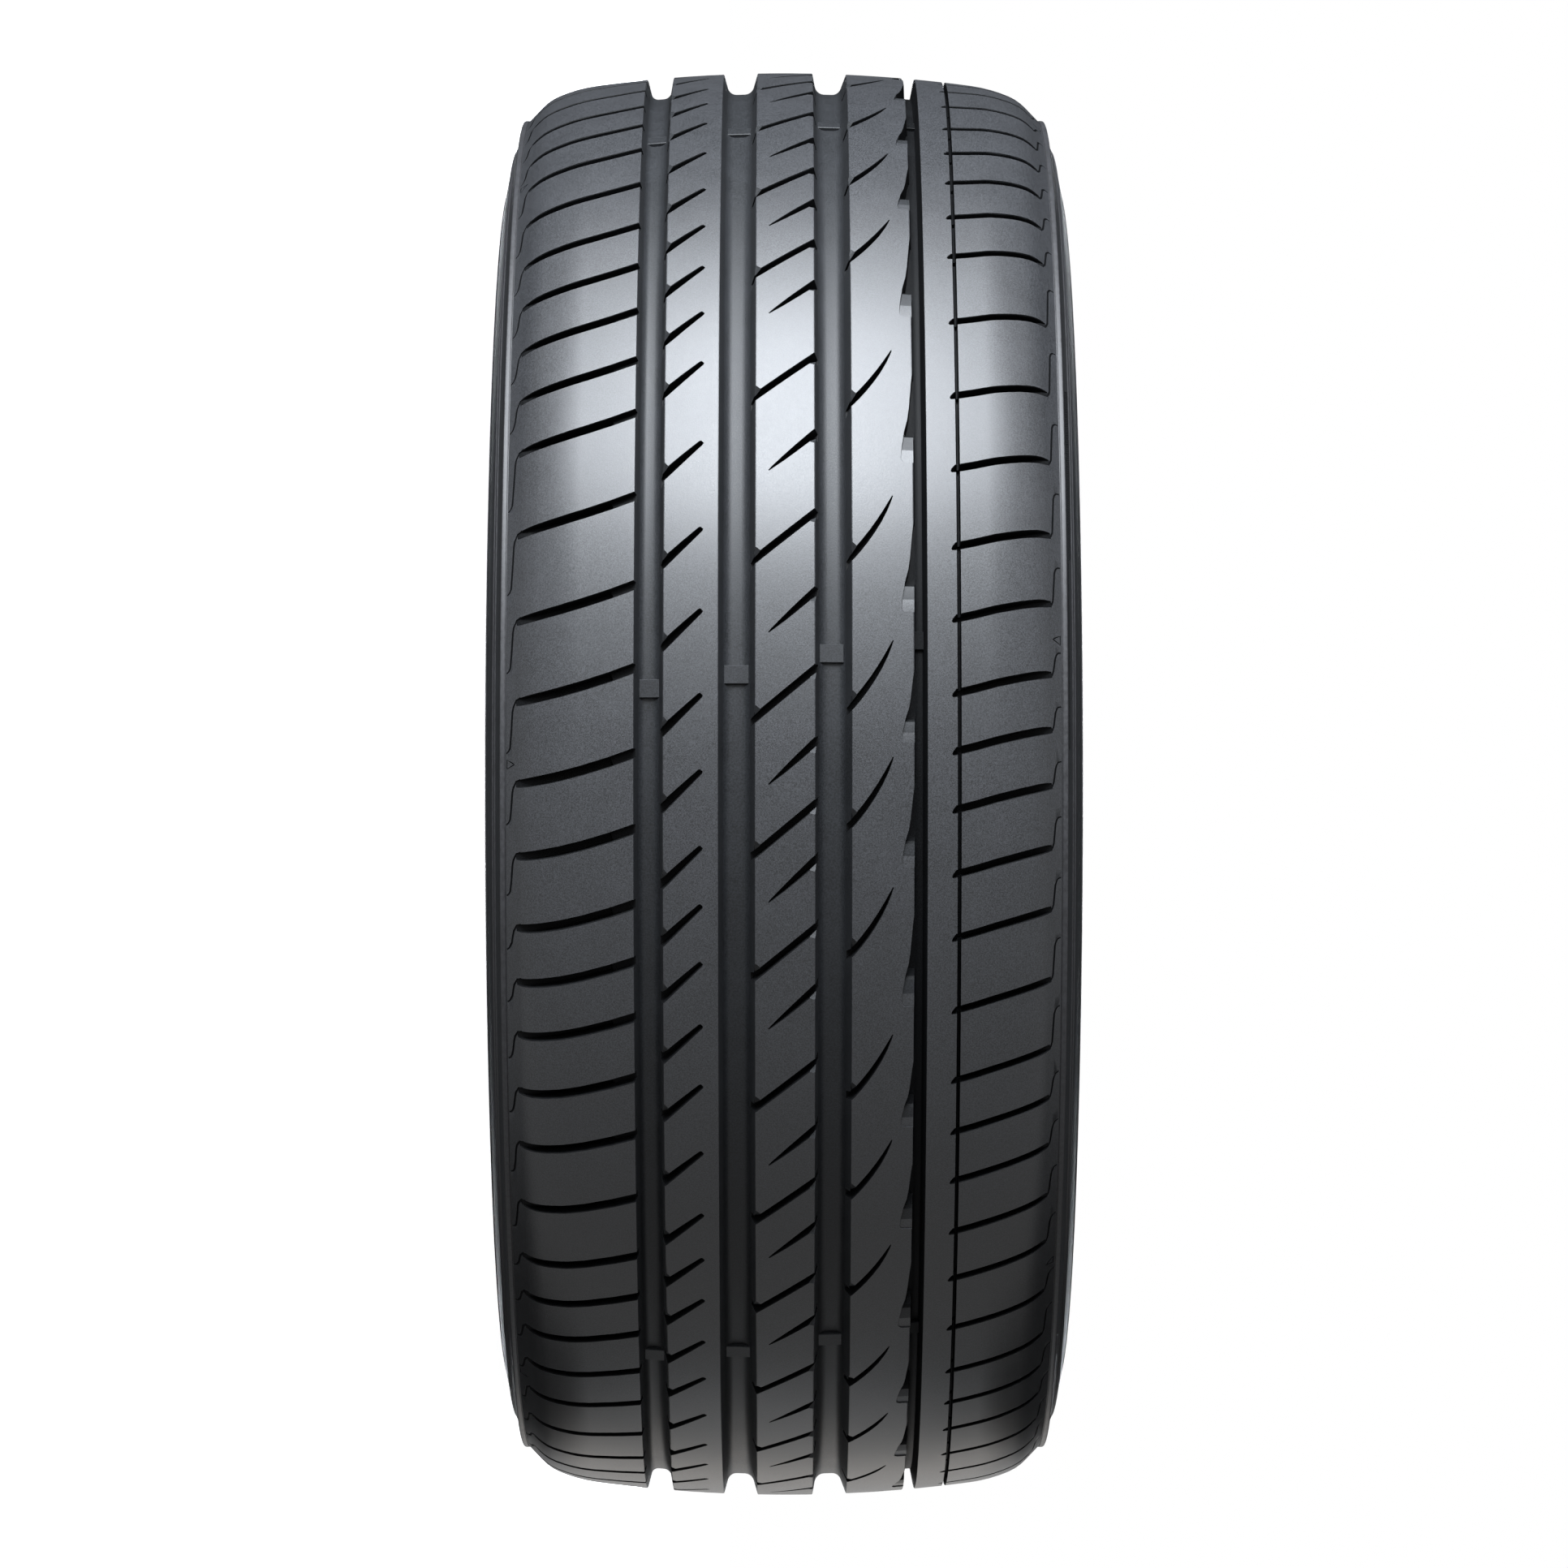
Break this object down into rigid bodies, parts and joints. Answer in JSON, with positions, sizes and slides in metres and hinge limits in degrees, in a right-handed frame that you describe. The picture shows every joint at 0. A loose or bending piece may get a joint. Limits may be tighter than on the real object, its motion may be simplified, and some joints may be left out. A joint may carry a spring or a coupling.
{
  "type": "car tyre",
  "caption": "Low-profile radial car tyre with an asymmetric grooved and slotted tread, rim protectors and two bead seats.",
  "frame": {"origin": "centre of the wheel, on the wheel axis and midway between the two sidewalls", "axes": "Z along the wheel axis; the tyre lies on its -Z sidewall, which is the left side of the tread in the picture, and the right shoulder with the hairline groove is on top"},
  "size_m": [0.6532, 0.6532, 0.253],
  "materials": {
    "rubber": "matte moulded rubber with a fine grain"
  },
  "bodies": {
    "root": {"tyre": "rubber"}
  },
  "joints": []
}
